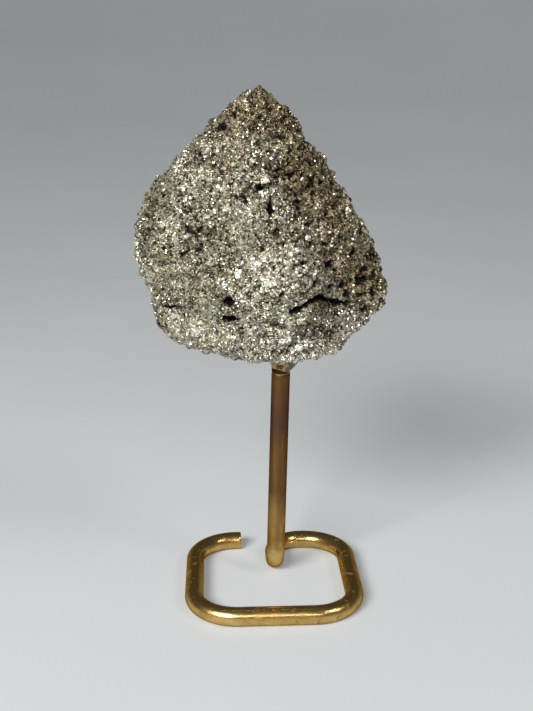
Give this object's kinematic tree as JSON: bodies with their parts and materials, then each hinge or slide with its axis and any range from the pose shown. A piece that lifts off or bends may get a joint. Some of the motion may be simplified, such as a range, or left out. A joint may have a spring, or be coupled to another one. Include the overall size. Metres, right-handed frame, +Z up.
{
  "type": "mineral specimen on a rod stand",
  "caption": "Granular pyrite specimen with a pointed top, glued on the post of a display stand bent from a single brass rod.",
  "frame": {"origin": "middle of the underside of the whole object's box, on the surface that the base loop rests on", "axes": "+Z up; +Y away from the viewer, from the base loop's front rail towards its open back rail; +X to the viewer's right, along the front rail"},
  "size_m": [0.079, 0.0588, 0.1619],
  "materials": {
    "pyrite": "granular metallic crystals, sparkling, with dark pits",
    "brass_rod": "polished with brown tarnish, darker towards the top of the post",
    "epoxy": "cured grey putty, satin"
  },
  "bodies": {
    "root": {"pyrite_stone": "pyrite", "bent_brass_rod": "brass_rod", "epoxy_bond": "epoxy"}
  },
  "joints": []
}
